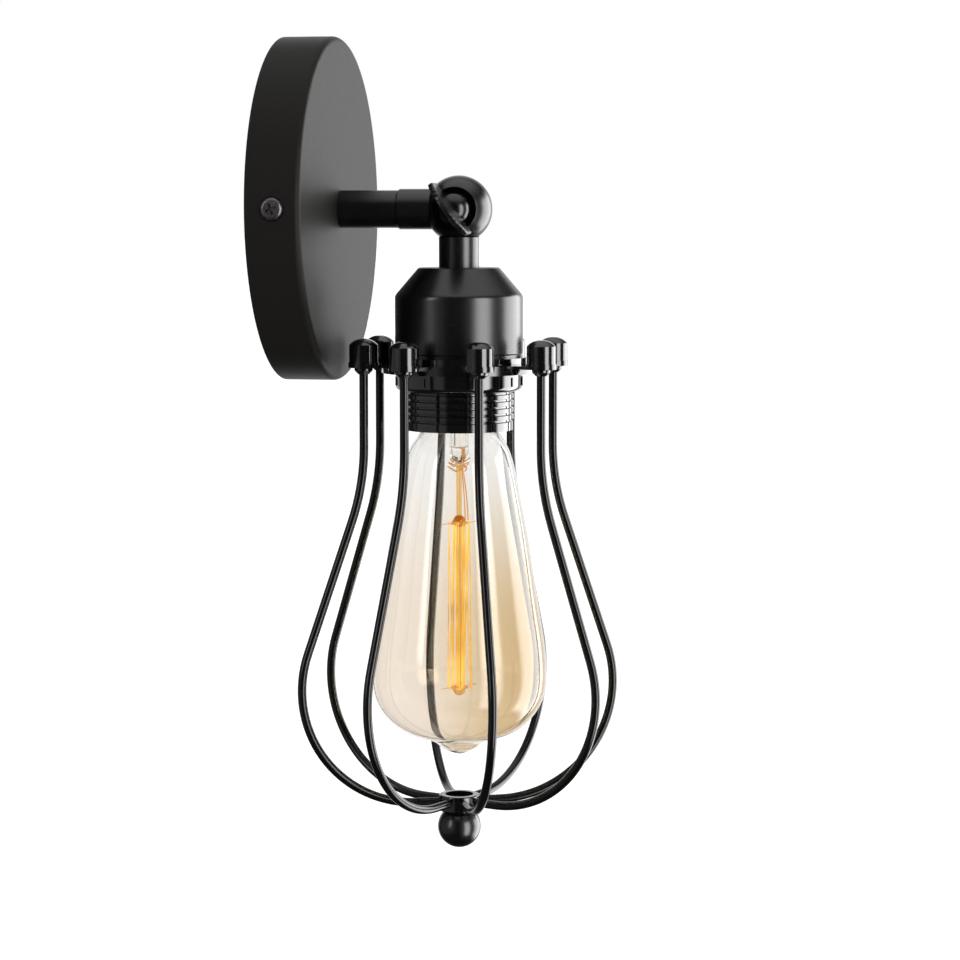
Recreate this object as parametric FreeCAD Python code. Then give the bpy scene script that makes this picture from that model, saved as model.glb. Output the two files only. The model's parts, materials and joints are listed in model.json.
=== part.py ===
import FreeCAD, Part
import math
import os

# A cage wall light: a round wall plate, a short arm with a ball knuckle, a screw-base holder
# and a bulb inside a pear-shaped cage of bent wires.
# Millimetres. The origin is the middle of the plate's back, on the wall, which is the plane y = 0.
# The arm runs out along -y, +z is up, and the lamp hangs down at rest.
# Three axes carry everything: "reach" is measured from the wall along the arm, "drop" from the
# middle of the knuckle ball down the lamp, and "out" from the same point along the hinge, -x.

os.makedirs("parts", exist_ok=True)
Vector = FreeCAD.Vector

# --- fits
slip = 0.05            # radial clearance of a piece that is slid or screwed into a hole
running = 0.06         # radial clearance of a piece that turns or slides in use
swing_gap = 0.30       # between the ball and the other half's shank, all through the tilt

# --- wall plate and strap
canopy_dia = 124.0
canopy_depth = 19.5
canopy_wall = 1.2
canopy_edge_r = 2.4
side_screw_dia = 3.9
side_screw_head_dia = 8.0
side_screw_head_height = 1.9
side_screw_length = 7.0
side_screw_reach = 9.8
side_screw_seat = 0.45          # depth of the flat that each head sits on
side_screw_seat_gap = 0.3       # round the head, on that flat
side_screw_cross_width = 0.9
side_screw_cross_length = 4.0
side_screw_cross_depth = 1.1
side_screw_cross_turn_deg = 20.0
side_screw_dome_r = 1.33
strap_width = 18.0
strap_thick = 2.0
strap_disc_dia = 50.0
strap_end_reach = 16.0
strap_end_gap = 0.3
strap_bend_r = 3.0
cable_hole_dia = 16.0
wall_slot_spacing = 70.0
wall_slot_width = 4.5
wall_slot_length = 12.0

# --- arm
nipple_dia = 9.7
nipple_bore = 7.2
nipple_proud = 0.5              # past the nut, inside the plate
nipple_socket_depth = 7.0       # how far it screws into the knuckle
nut_across_flats = 14.0
nut_height = 4.0
washer_dia = 18.0
washer_thick = 0.8
arm_tube_dia = 13.6
groove_dia = 11.6
groove_width = 0.6

# --- ball knuckle
arm_reach = 63.0                # wall to the middle of the ball
knuckle_back = 22.2             # middle of the ball back to the end of the arm tube
ball_dia = 24.2
parting_gap = 0.10
shank_dia = 14.6
stem_dia = 14.5
wire_way_dia = 7.2
cavity_dia = 17.0
cavity_depth = 4.6
boss_dia = 7.8
boss_set_back = 0.3
recess_dia = 16.0
recess_floor_dia = 13.0
recess_floor_out = 6.8
recess_floor_r = 1.2
hinge_screw_dia = 3.9
knuckle_nut_flats = 7.0
knuckle_nut_height = 3.2
knuckle_nut_out = 6.0
pocket_clearance = 0.1

# --- thumb screw
thumb_washer_dia = 10.0
thumb_washer_thick = 0.6
thumb_hub_dia = 11.8
thumb_hub_dome_r = 5.2
thumb_shank_proud = 0.6         # past the knuckle nut
thumb_hub_end_out = 14.0
blade_length = 22.0
blade_thick = 2.0
blade_start_out = 12.6
blade_end_out = 21.0
blade_crown = 6.5
blade_tilt_deg = 36.0
blade_notch_dia = 0.7
blade_notches = 13
blade_notched_share = 0.85      # of the crown
blade_edge_r = 0.6

# --- lamp holder
cap_top_drop = 20.9
cap_flat_dia = 29.2
cap_shoulder_drop = 31.0
cap_dia = 46.3
cap_bottom_drop = 53.2
cap_wall = 1.2
cap_top_edge_r = 1.2
cap_shoulder_r = 3.0
cap_foot_step = 0.4             # the rolled-in foot of the cap
cap_foot_height = 1.6
cap_foot_r = 0.2
stem_nipple_length = 16.0
stem_nipple_in_stem = 8.0
core_dia = 34.4
core_top_drop = 36.0
core_bore_dia = 6.0
core_bore_floor = 6.0
terminal_radius = 10.0
terminal_screw_dia = 2.9
terminal_head_dia = 5.6
terminal_head_height = 1.8
terminal_screw_depth = 6.0
terminal_head_edge_r = 0.5
terminal_lead_gap = 0.4
collar_dia = 49.0
collar_thick = 2.3
neck_top_drop = 43.0
thread_dia = 39.5
thread_depth = 0.85
thread_pitch = 2.5
groove_share = 0.42             # of the pitch: a groove between two ridges, with its slopes
groove_slope_share = 0.12       # of the pitch: one of those slopes
thread_ridges = 4
skirt_bottom_drop = 79.5
skirt_band = 3.0
skirt_band_step = 0.25          # in from the thread's crests
skirt_grooves = 6
skirt_groove_width = 0.7
skirt_groove_depth = 0.6
skirt_groove_turn_deg = 50.0
shell_play = 0.1                # round the bulb's thread
shell_wall = 0.6
shell_gap = 1.2                 # between the shell and the skirt
shell_set_back = 2.4
shell_lip_bore = 20.0
shell_edge_r = 0.8
contact_width = 5.0
contact_thick = 0.5
contact_length = 8.0
contact_foot = 2.5
contact_tip_length = 3.0
contact_room = 2.7              # between the core and the bulb's tip

# --- shade ring nut and its washer
ring_washer_dia = 45.6
ring_washer_thick = 0.8
ring_nut_dia = 46.0
ring_nut_height = 7.8
ring_nut_top_edge_r = 0.5
ring_nut_foot_edge_r = 2.0
ring_nut_ribs = 16
ring_nut_rib_width = 1.2
ring_nut_rib_height = 0.45

# --- cage
flange_dia = 56.0
flange_thick = 1.2
flange_rim_depth = 3.3
ear_dia = 11.0
cage_wires = 8
cage_wire_dia = 3.2
cage_neck_r = 35.0              # lamp axis to the middle of a wire at its top
cage_slant_deg = 18.8
cage_slant_drop = 99.1          # where the upright and slanting stretches would meet
cage_shoulder_bend_r = 85.0
cage_belly_bend_r = 42.5
cage_bulb_gap = 17.3            # the bulb's tip to the wires' middles below it
wire_end_gap = 0.5              # in the cap nut's bore
cap_nut_dia = 10.4
cap_nut_height = 8.5
cap_nut_dome = 2.2
cap_nut_bore_depth = 5.5
lock_washer_dia = 11.0
lock_washer_thick = 0.7
collar_bead_dia = 6.6
collar_bead_height = 2.4
collar_bead_band = 1.1
collar_bead_lip = 0.35
hub_dia = 14.8
hub_bore = 10.4
hub_height = 6.0
hub_rise = 2.5                  # above the wires' middles
hub_edge_r = 0.5
hub_floor = 1.2
finial_dia = 15.8
finial_screw_dia = 3.0
finial_head_dia = 5.6
finial_head_height = 1.6
finial_screw_depth = 6.0
finial_head_edge_r = 0.9
hole_end_gap = 0.5              # a blind hole past its screw's end

# --- bulb
bulb_glass_wall = 0.6
bulb_neck_gap = 0.2             # between the glass and the base
bulb_neck_set_in = 3.4          # the glass starts this far below the base's top
bulb_shoulder_step = 1.6        # base's edge to where the shoulder begins
bulb_belly_dia = 64.0
bulb_belly_length = 90.2        # base's edge to the widest place
bulb_fall = 24.9                # widest place to the pip
# shares of the way down, and the width there as a share of the belly's
bulb_shoulder_curve = ((0.08, 0.565), (0.20, 0.655), (0.48, 0.80), (0.75, 0.915))
bulb_foot_curve = ((0.42, 0.955), (0.78, 0.75))
bulb_pip_dia = 20.0
bulb_pip_height = 6.0
base_crest_dia = 26.6
base_thread_depth = 1.0
base_wall = 0.5
base_pitch = 3.629
base_height = 19.4
base_set_back = 1.5             # inside the skirt's edge
insulator_top_dia = 11.0
insulator_height = 1.8
insulator_wedge = 1.5
insulator_gap = 0.1
contact_dia = 9.6
contact_height = 1.1
contact_edge_r = 0.8
contact_gap = 0.05
glass_stem_length = 30.0
glass_stem_start = 6.0          # below the neck's top
glass_stem_dia = 7.0
glass_flare_length = 9.0
glass_flare_edge = 0.8
glass_stem_wall = 1.0
glass_press_length = 4.0        # where the stem narrows to the rod
glass_press_edge = 0.4
glass_flare_bend_r = 4.0
rod_dia = 2.0
rod_tail = 2.0
upper_bead_below_stem = 21.0
filament_length = 62.0          # from bead to bead
bead_dia = 4.6
filament_dia = 0.4
filament_legs = 16
filament_r = 5.6
filament_turn_r = 0.95
hook_dia = 0.3
lead_in_dia = 0.6
lead_in_overlap = 2.5           # beside the stem, and beside the filament's end
lead_in_reach = 4.0
lead_in_bend_r = 4.0

# --- wiring
lead_dia = 2.0
lead_side = 1.6                 # how far the leads keep to their own half of the ball
lead_spread = 1.15
lead_bend_r = 4.2
lead_top_bend_r = 3.2
lead_foot_bend_r = 2.2
lead_turn_room = 2.0            # before the nipple's end
lead_kink_share = 0.56
block_width = 22.0
block_depth = 9.0
block_height = 10.0
block_bottom = 9.5
block_screw_dia = 3.8
block_well_depth = 2.5
block_screw_sunk = 0.6
block_screw_rise = 5.0
block_way_gap = 0.2
block_way_depth = 4.0
block_waist_dia = 3.2
earth_screw_z = -16.0
earth_head_dia = 7.0
earth_head_height = 2.2
earth_screw_dia = 3.9
earth_head_dome_r = 0.8
earth_screw_end_gap = 0.3
slot_width = 0.8                # of a slotted screw head
slot_depth = 0.9
block_slot_width = 0.6

# --- worked out from the sizes above
canopy_r = canopy_dia / 2
ball_r = ball_dia / 2
strap_end_x = math.sqrt((canopy_r - canopy_wall) ** 2 - (strap_width / 2) ** 2) - strap_end_gap
arm_tube_end_reach = arm_reach - knuckle_back
nipple_end_reach = arm_tube_end_reach + nipple_socket_depth
canopy_nut_end_reach = canopy_depth - canopy_wall - washer_thick
nipple_start_reach = canopy_nut_end_reach - nut_height - nipple_proud
flange_top_drop = cap_bottom_drop + collar_thick
flange_bottom_drop = flange_top_drop + flange_thick
ring_nut_top_drop = flange_bottom_drop + ring_washer_thick
ring_nut_bottom_drop = ring_nut_top_drop + ring_nut_height
cap_nut_bottom_drop = flange_top_drop - lock_washer_thick
base_root_dia = base_crest_dia - 2 * base_thread_depth
base_bottom_drop = skirt_bottom_drop - base_set_back
base_top_drop = base_bottom_drop - base_height
shell_bore = base_crest_dia + 2 * shell_play
skirt_bore = shell_bore + 2 * shell_wall + 2 * shell_gap
bulb_contact_drop = base_top_drop - insulator_height - contact_height
core_bottom_drop = bulb_contact_drop - contact_room
bulb_neck_dia = base_root_dia - 2 * base_wall - 2 * bulb_neck_gap
bulb_neck_top_drop = base_top_drop + bulb_neck_set_in
bulb_shoulder_drop = base_bottom_drop + bulb_shoulder_step
bulb_belly_drop = base_bottom_drop + bulb_belly_length
bulb_pip_drop = bulb_belly_drop + bulb_fall
bulb_tip_drop = bulb_pip_drop + bulb_pip_height
glass_stem_drop = bulb_neck_top_drop + glass_stem_length
upper_bead_drop = glass_stem_drop + upper_bead_below_stem
lower_bead_drop = upper_bead_drop + filament_length
cage_floor_drop = bulb_tip_drop + cage_bulb_gap
hub_top_drop = cage_floor_drop - hub_rise
hub_bottom_drop = hub_top_drop + hub_height

# --- axes: a starting point, the direction along the axis, and a direction square to it
ball_middle = Vector(0, -arm_reach, 0)
arm = (Vector(0, 0, 0), Vector(0, -1, 0), Vector(1, 0, 0))
lamp = (ball_middle, Vector(0, 0, -1), Vector(0, -1, 0))
hinge = (ball_middle, Vector(-1, 0, 0), Vector(0, 0, -1))


def at(axis, along, out=0.0, turn=0.0):
    """A point: so far along an axis, so far out from it, turned about it by degrees."""
    start, ahead, side = axis
    turned_side = FreeCAD.Rotation(ahead, turn).multVec(side)
    return start + ahead * along + turned_side * out


def rod(axis, radius, begin, end):
    """A round bar on an axis."""
    return Part.makeCylinder(radius, end - begin, at(axis, begin), axis[1])


def tube(axis, outer, inner, begin, end):
    """A round tube on an axis."""
    return rod(axis, outer, begin, end).cut(rod(axis, inner, begin, end))


def rounding(before, corner, after, radius):
    """The start, middle and end of the arc that rounds one corner."""
    back = (before - corner).normalize()
    ahead = (after - corner).normalize()
    half_angle = back.getAngle(ahead) / 2
    reach = radius / math.tan(half_angle)
    inward = (back + ahead).normalize()
    middle = corner + inward * (radius / math.sin(half_angle) - radius)
    return corner + back * reach, middle, corner + ahead * reach


def rounded_wire(corners, radii, closed):
    """Straight lines through the corners, with each corner that has a radius rounded by it."""
    count = len(corners)
    stops = []
    for number, corner in enumerate(corners):
        if radii[number]:
            after = corners[(number + 1) % count]
            stops.append(rounding(corners[number - 1], corner, after, radii[number]))
        else:
            stops.append((corner, None, corner))
    edges = []
    for number, (begin, middle, end) in enumerate(stops):
        if middle:
            edges.append(Part.Arc(begin, middle, end).toShape())
        if number + 1 < count or closed:
            following = stops[(number + 1) % count][0]
            if end.distanceToPoint(following) > 1e-6:
                edges.append(Part.LineSegment(end, following).toShape())
    return Part.Wire(edges)


def turned(axis, profile, radii=None):
    """A solid turned about an axis from (radius, distance along) corners."""
    corners = [at(axis, along, radius) for radius, along in profile]
    outline = rounded_wire(corners, radii or [0] * len(corners), True)
    return Part.Face(outline).revolve(axis[0], axis[1], 360)


def round_bar(path, radius):
    """A round bar swept along a wire."""
    first = path.OrderedEdges[0]
    direction = first.tangentAt(first.FirstParameter)
    ring = Part.Wire(Part.makeCircle(radius, first.valueAt(first.FirstParameter), direction))
    return path.makePipeShell([ring], True, False)


def hex_bar(axis, across_flats, begin, end):
    """A six-sided bar on an axis."""
    corner_r = across_flats / 2 / math.cos(math.pi / 6)
    corners = [at(axis, begin, corner_r, 360 / 6 * step) for step in range(6)]
    side = Part.Face(rounded_wire(corners, [0] * 6, True))
    return side.extrude(axis[1] * (end - begin))


def shifted(axis, out, turn):
    """The same axis moved sideways, with its square direction pointing away from the old one."""
    start = at(axis, 0, out, turn)
    away = FreeCAD.Rotation(axis[1], turn).multVec(axis[2])
    return (start, axis[1], away)


def around(axis, count, first_turn, make):
    """One piece made at each of several evenly spaced turns about an axis."""
    return [make(first_turn + 360.0 / count * step) for step in range(count)]


def group(pieces):
    """Identical pieces that share a node."""
    return Part.makeCompound(pieces)


def slab(corner_low, corner_high):
    """A block between two opposite corners."""
    size = corner_high - corner_low
    return Part.makeBox(size.x, size.y, size.z, corner_low)


def front_space():
    """Everything on the arm's side of the knuckle's parting plane."""
    wide = 4 * ball_dia
    low = ball_middle - Vector(wide, wide, wide)
    return slab(low, ball_middle + Vector(-parting_gap / 2, wide, wide))


def rear_space():
    """Everything on the lamp's side of the knuckle's parting plane."""
    wide = 4 * ball_dia
    high = ball_middle + Vector(wide, wide, wide)
    return slab(ball_middle + Vector(parting_gap / 2, -wide, -wide), high)


# --- wall side

def side_axis(side):
    """The axis of a side screw, pointing out of the plate."""
    return (Vector(0, -side_screw_reach, 0), Vector(side, 0, 0), Vector(0, 0, 1))


def canopy_cup():
    inner_r = canopy_r - canopy_wall
    bore_r = nipple_dia / 2 + slip
    floor = canopy_depth - canopy_wall
    profile = [(bore_r, canopy_depth), (canopy_r, canopy_depth), (canopy_r, 0)]
    profile += [(inner_r, 0), (inner_r, floor), (bore_r, floor)]
    cup = turned(arm, profile, [0, canopy_edge_r, 0, 0, canopy_edge_r - canopy_wall, 0])
    for side in (-1, 1):
        axis = side_axis(side)
        seat = canopy_r - side_screw_seat
        cup = cup.cut(rod(axis, side_screw_head_dia / 2 + side_screw_seat_gap, seat, canopy_r + 1))
        cup = cup.cut(rod(axis, side_screw_dia / 2 + slip, inner_r - 1, canopy_r + 1))
    return cup


def slot_cutter(x):
    """One upright-sided slot for a wall screw, long along x."""
    half_run = (wall_slot_length - wall_slot_width) / 2
    half_width = wall_slot_width / 2
    depth = 2 * strap_thick
    cutter = slab(Vector(x - half_run, -depth, -half_width), Vector(x + half_run, depth, half_width))
    for end in (-half_run, half_run):
        cutter = cutter.fuse(Part.makeCylinder(half_width, 2 * depth, Vector(x + end, depth, 0), arm[1]))
    return cutter


def mounting_strap():
    x = strap_end_x
    inner_x = x - strap_thick
    corners = [Vector(-x, -strap_end_reach, 0), Vector(-x, 0, 0), Vector(x, 0, 0)]
    corners += [Vector(x, -strap_end_reach, 0), Vector(inner_x, -strap_end_reach, 0)]
    corners += [Vector(inner_x, -strap_thick, 0), Vector(-inner_x, -strap_thick, 0)]
    corners += [Vector(-inner_x, -strap_end_reach, 0)]
    inside_r = strap_bend_r - strap_thick
    outline = rounded_wire(corners, [0, strap_bend_r, strap_bend_r, 0, 0, inside_r, inside_r, 0], True)
    outline.translate(Vector(0, 0, -strap_width / 2))
    strap = Part.Face(outline).extrude(Vector(0, 0, strap_width))
    strap = strap.fuse(rod(arm, strap_disc_dia / 2, 0, strap_thick))
    strap = strap.cut(rod(arm, cable_hole_dia / 2, -1, strap_thick + 1))
    for side in (-1, 1):
        strap = strap.cut(slot_cutter(side * wall_slot_spacing / 2))
        strap = strap.cut(rod(side_axis(side), side_screw_dia / 2 + slip, inner_x - 1, x + 1))
    earth_hole = rod(earth_axis(), earth_screw_dia / 2 + slip, -1, strap_thick + 1)
    return strap.cut(earth_hole).removeSplitter()


def side_screw(side):
    axis = side_axis(side)
    seat = canopy_r - side_screw_seat
    head_r = side_screw_head_dia / 2
    shank_r = side_screw_dia / 2
    top = seat + side_screw_head_height
    profile = [(0, seat - side_screw_length), (shank_r, seat - side_screw_length), (shank_r, seat)]
    profile += [(head_r, seat), (head_r, top), (0, top)]
    screw = turned(axis, profile, [0, 0, 0, 0, side_screw_dome_r, 0])
    half_width = side_screw_cross_width / 2
    half_length = side_screw_cross_length / 2
    for turn in (side_screw_cross_turn_deg, side_screw_cross_turn_deg + 90):
        low = Vector(-half_width, -half_length, top - side_screw_cross_depth)
        arm_of_cross = slab(low, Vector(half_width, half_length, top + 1))
        cross = FreeCAD.Placement(axis[0], FreeCAD.Rotation(Vector(0, 0, 1), axis[1]))
        arm_of_cross.rotate(Vector(0, 0, 0), Vector(0, 0, 1), turn)
        arm_of_cross.Placement = cross.multiply(arm_of_cross.Placement)
        screw = screw.cut(arm_of_cross)
    return screw


def nipple():
    return tube(arm, nipple_dia / 2, nipple_bore / 2, nipple_start_reach, nipple_end_reach)


def canopy_nut():
    end = canopy_nut_end_reach
    nut = hex_bar(arm, nut_across_flats, end - nut_height, end)
    return nut.cut(rod(arm, nipple_dia / 2 + slip, end - nut_height - 1, end + 1))


def canopy_washer():
    end = canopy_depth - canopy_wall
    return tube(arm, washer_dia / 2, nipple_dia / 2 + slip, canopy_nut_end_reach, end)


def arm_tube():
    bore = nipple_dia / 2 + slip
    return tube(arm, arm_tube_dia / 2, bore, canopy_depth, arm_tube_end_reach)


def earth_axis():
    """The axis of the earth screw, pointing away from the wall."""
    return (Vector(0, 0, earth_screw_z), Vector(0, -1, 0), Vector(1, 0, 0))


def earth_screw():
    head_r = earth_head_dia / 2
    shank_r = earth_screw_dia / 2
    top = strap_thick + earth_head_height
    profile = [(0, earth_screw_end_gap), (shank_r, earth_screw_end_gap), (shank_r, strap_thick)]
    profile += [(head_r, strap_thick), (head_r, top), (0, top)]
    screw = turned(earth_axis(), profile, [0, 0, 0, 0, earth_head_dome_r, 0])
    low = Vector(-head_r, -top - 1, -slot_width / 2)
    driver_slot = slab(low, Vector(head_r, slot_depth - top, slot_width / 2))
    return screw.cut(driver_slot.translated(Vector(0, 0, earth_screw_z)))


def terminal_block():
    half = block_width / 2
    low = Vector(-half, -strap_thick - block_depth, block_bottom)
    block = slab(low, Vector(half, -strap_thick, block_bottom + block_height))
    middle_y = -strap_thick - block_depth / 2
    for x in block_ways():
        way_start = Vector(x, middle_y, block_bottom)
        way = Part.makeCylinder(lead_dia / 2 + block_way_gap, block_way_depth, way_start)
        front = strap_thick + block_depth
        well = rod(block_screw_axis(x), block_screw_dia / 2, front - block_well_depth, front)
        block = block.cut(way).cut(well)
    waist = Part.makeCylinder(block_waist_dia / 2, block_height, Vector(0, low.y, block_bottom))
    return block.cut(waist)


def block_ways():
    """Where the block's two ways lie across it."""
    return (-block_width / 4, block_width / 4)


def block_screw_axis(x):
    return (Vector(x, 0, block_bottom + block_screw_rise), Vector(0, -1, 0), Vector(1, 0, 0))


def block_screws():
    front = strap_thick + block_depth
    top = front - block_screw_sunk
    half_width = block_slot_width / 2
    screws = []
    for x in block_ways():
        axis = block_screw_axis(x)
        screw = rod(axis, block_screw_dia / 2 - slip, front - block_well_depth, top)
        low = axis[0] + Vector(-block_screw_dia, -front, -half_width)
        high = axis[0] + Vector(block_screw_dia, block_slot_width - top, half_width)
        screws.append(screw.cut(slab(low, high)))
    return group(screws)


# --- knuckle

def ball_half(space, shank):
    """Half of the ball with its own shank, which keeps clear of the other half."""
    ball = Part.makeSphere(ball_r, ball_middle)
    swept = Part.makeSphere(ball_r + swing_gap, ball_middle)
    own_shank = shank.cut(swept).fuse(shank.common(swept).common(space))
    return ball.common(space).fuse(own_shank)


def ball_cavity():
    """The hollow round the hinge screw that the wires pass through."""
    hollow = rod(hinge, cavity_dia / 2, -cavity_depth, cavity_depth)
    boss = rod(hinge, boss_dia / 2, -cavity_depth, cavity_depth)
    set_back = rod(hinge, boss_dia / 2, -boss_set_back, boss_set_back)
    return hollow.cut(boss).fuse(set_back)


def knuckle_arm_half():
    shank_start = arm_tube_end_reach + groove_width
    shank = rod(arm, shank_dia / 2, shank_start, arm_reach - cavity_dia / 4)
    shank = shank.fuse(rod(arm, groove_dia / 2, arm_tube_end_reach, shank_start))
    half = ball_half(front_space(), shank)
    rim_out = math.sqrt(ball_r ** 2 - (recess_dia / 2) ** 2)
    flare = (recess_dia - recess_floor_dia) / 2 / (rim_out - recess_floor_out)
    mouth_r = recess_dia / 2 + flare * 4
    dish = [(0, recess_floor_out), (recess_floor_dia / 2, recess_floor_out)]
    dish += [(mouth_r, rim_out + 4), (0, rim_out + 4)]
    half = half.cut(turned(hinge, dish, [0, recess_floor_r, 0, 0]))
    half = half.cut(ball_cavity())
    half = half.cut(rod(hinge, hinge_screw_dia / 2 + running, -ball_r, ball_r))
    half = half.cut(rod(arm, nipple_dia / 2 + slip, 0, nipple_end_reach + slip))
    wire_way = rod(arm, wire_way_dia / 2, nipple_end_reach, arm_reach - boss_dia / 2 - 1)
    return half.cut(wire_way).removeSplitter()


def knuckle_lamp_half():
    stem = rod(lamp, stem_dia / 2, cavity_dia / 4, cap_top_drop)
    half = ball_half(rear_space(), stem)
    half = half.cut(ball_cavity())
    half = half.cut(rod(hinge, hinge_screw_dia / 2 + running, -ball_r, ball_r))
    pocket = hex_bar(hinge, knuckle_nut_flats + 2 * pocket_clearance, -ball_r - 1, -knuckle_nut_out)
    half = half.cut(pocket)
    socket_top = cap_top_drop - stem_nipple_in_stem
    half = half.cut(rod(lamp, nipple_dia / 2 + slip, socket_top - slip, cap_top_drop + 1))
    wire_way = rod(lamp, wire_way_dia / 2, boss_dia / 2 + 1, cap_top_drop)
    return half.cut(wire_way).removeSplitter()


def friction_washer():
    inner = hinge_screw_dia / 2 + running
    return tube(hinge, boss_dia / 2 - slip, inner, slip - boss_set_back, boss_set_back)


def knuckle_nut():
    begin = -knuckle_nut_out - knuckle_nut_height
    nut = hex_bar(hinge, knuckle_nut_flats, begin, -knuckle_nut_out)
    return nut.cut(rod(hinge, hinge_screw_dia / 2 + running, begin - 1, 0))


def thumb_washer():
    begin = recess_floor_out
    inner = hinge_screw_dia / 2 + running
    return tube(hinge, thumb_washer_dia / 2, inner, begin, begin + thumb_washer_thick)


def thumb_blade():
    """The flat wing that the fingers turn, with a crowned and notched outer edge."""
    half = blade_length / 2
    along = Vector(0, -math.sin(math.radians(blade_tilt_deg)), -math.cos(math.radians(blade_tilt_deg)))
    across = along.cross(hinge[1])

    def spot(side, out):
        return ball_middle + along * side + hinge[1] * out

    crown_out = blade_end_out + blade_crown
    base = [spot(half, blade_end_out), spot(half, blade_start_out)]
    base += [spot(-half, blade_start_out), spot(-half, blade_end_out)]
    edges = [Part.LineSegment(base[step], base[step + 1]).toShape() for step in range(3)]
    edges.append(Part.Arc(base[3], spot(0, crown_out), base[0]).toShape())
    face = Part.Face(Part.Wire(edges))
    face.translate(across * (-blade_thick / 2))
    blade = face.extrude(across * blade_thick)
    blade = blade.makeFillet(blade_edge_r, blade.Edges)
    crown_r = (half ** 2 + blade_crown ** 2) / (2 * blade_crown)
    centre_out = crown_out - crown_r
    spread = math.degrees(math.asin(half / crown_r)) * blade_notched_share
    for step in range(blade_notches):
        lean = math.radians(spread * (2 * step / (blade_notches - 1) - 1))
        notch_at = spot(crown_r * math.sin(lean), centre_out + crown_r * math.cos(lean))
        notch_start = notch_at - across * blade_thick
        blade = blade.cut(Part.makeCylinder(blade_notch_dia / 2, 2 * blade_thick, notch_start, across))
    return blade


def thumb_screw():
    hub_start = recess_floor_out + thumb_washer_thick
    shank_end = -knuckle_nut_out - knuckle_nut_height - thumb_shank_proud
    shank_r = hinge_screw_dia / 2
    hub_r = thumb_hub_dia / 2
    profile = [(0, shank_end), (shank_r, shank_end), (shank_r, hub_start), (hub_r, hub_start)]
    profile += [(hub_r, thumb_hub_end_out), (0, thumb_hub_end_out)]
    return turned(hinge, profile, [0, 0, 0, 0, thumb_hub_dome_r, 0]).fuse(thumb_blade()).removeSplitter()


# --- lamp holder

def stem_nipple():
    begin = cap_top_drop - stem_nipple_in_stem
    return tube(lamp, nipple_dia / 2, nipple_bore / 2, begin, begin + stem_nipple_length)


def stem_nut():
    begin = cap_top_drop + cap_wall
    nut = hex_bar(lamp, nut_across_flats, begin, begin + nut_height)
    return nut.cut(rod(lamp, nipple_dia / 2 + slip, begin - 1, begin + nut_height + 1))


def holder_cap():
    outer_r = cap_dia / 2
    inner_r = outer_r - cap_wall
    bore_r = nipple_dia / 2 + slip
    flat_r = cap_flat_dia / 2
    slope = math.atan2(cap_shoulder_drop - cap_top_drop, outer_r - flat_r)
    inset = cap_wall * math.tan(slope / 2)
    inner_shoulder_drop = cap_shoulder_drop + cap_wall * math.tan(math.pi / 4 - slope / 2)
    foot_top = cap_bottom_drop - cap_foot_height
    foot_r = outer_r - cap_foot_step
    profile = [(bore_r, cap_top_drop), (flat_r, cap_top_drop), (outer_r, cap_shoulder_drop)]
    profile += [(outer_r, foot_top), (foot_r, foot_top + cap_foot_step), (foot_r, cap_bottom_drop)]
    profile += [(inner_r, cap_bottom_drop), (inner_r, inner_shoulder_drop)]
    profile += [(flat_r - inset, cap_top_drop + cap_wall), (bore_r, cap_top_drop + cap_wall)]
    radii = [0, cap_top_edge_r, cap_shoulder_r, cap_foot_r, cap_foot_r, 0, 0, cap_shoulder_r - cap_wall, 0, 0]
    return turned(lamp, profile, radii)


def neck_r():
    """Outside of the skirt's neck, which screws into the cap."""
    return cap_dia / 2 - cap_wall - slip


def thread_corners(crest_r, root_r, first_drop, pitch, ridges):
    """Corners of ridges with narrow grooves between them, from the first groove downwards."""
    corners = []
    for step in range(ridges + 1):
        top = first_drop + pitch * step
        slope = pitch * groove_slope_share
        groove = pitch * groove_share
        corners += [(crest_r, top), (root_r, top + slope)]
        corners += [(root_r, top + groove - slope), (crest_r, top + groove)]
    return corners


def holder_skirt():
    crest_r = thread_dia / 2
    root_r = crest_r - thread_depth
    bore_r = skirt_bore / 2
    seat_r = core_dia / 2 + slip
    band_r = crest_r - skirt_band_step
    band_top = skirt_bottom_drop - skirt_band
    first = band_top - thread_pitch * (thread_ridges + groove_share)
    profile = [(neck_r(), neck_top_drop), (neck_r(), cap_bottom_drop), (collar_dia / 2, cap_bottom_drop)]
    profile += [(collar_dia / 2, flange_top_drop), (crest_r, flange_top_drop)]
    profile += thread_corners(crest_r, root_r, first, thread_pitch, thread_ridges)
    profile[-1] = (band_r, band_top)
    profile += [(band_r, skirt_bottom_drop), (bore_r, skirt_bottom_drop)]
    profile += [(bore_r, core_bottom_drop), (seat_r, core_bottom_drop), (seat_r, neck_top_drop)]
    skirt = turned(lamp, profile)

    def groove(turn):
        low = Vector(crest_r - skirt_groove_depth, -skirt_groove_width / 2, -band_top)
        cutter = slab(low, Vector(crest_r + 1, skirt_groove_width / 2, -first))
        cutter.rotate(Vector(0, 0, 0), Vector(0, 0, 1), turn)
        return cutter.translated(ball_middle)

    return skirt.cut(group(around(lamp, skirt_grooves, skirt_groove_turn_deg, groove)))


def terminal_axis(side):
    """The axis of a terminal screw on top of the core, pointing down."""
    turn = 0 if side > 0 else 180
    return shifted(lamp, terminal_radius, turn)


def holder_core():
    core = rod(lamp, core_dia / 2, core_top_drop, core_bottom_drop)
    for side in (-1, 1):
        hole_end = core_top_drop + terminal_screw_depth + hole_end_gap
        hole_r = terminal_screw_dia / 2 + slip
        core = core.cut(rod(terminal_axis(side), hole_r, core_top_drop - 1, hole_end))
    return core.cut(rod(lamp, core_bore_dia / 2, core_top_drop - 1, core_bottom_drop - core_bore_floor))


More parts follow.
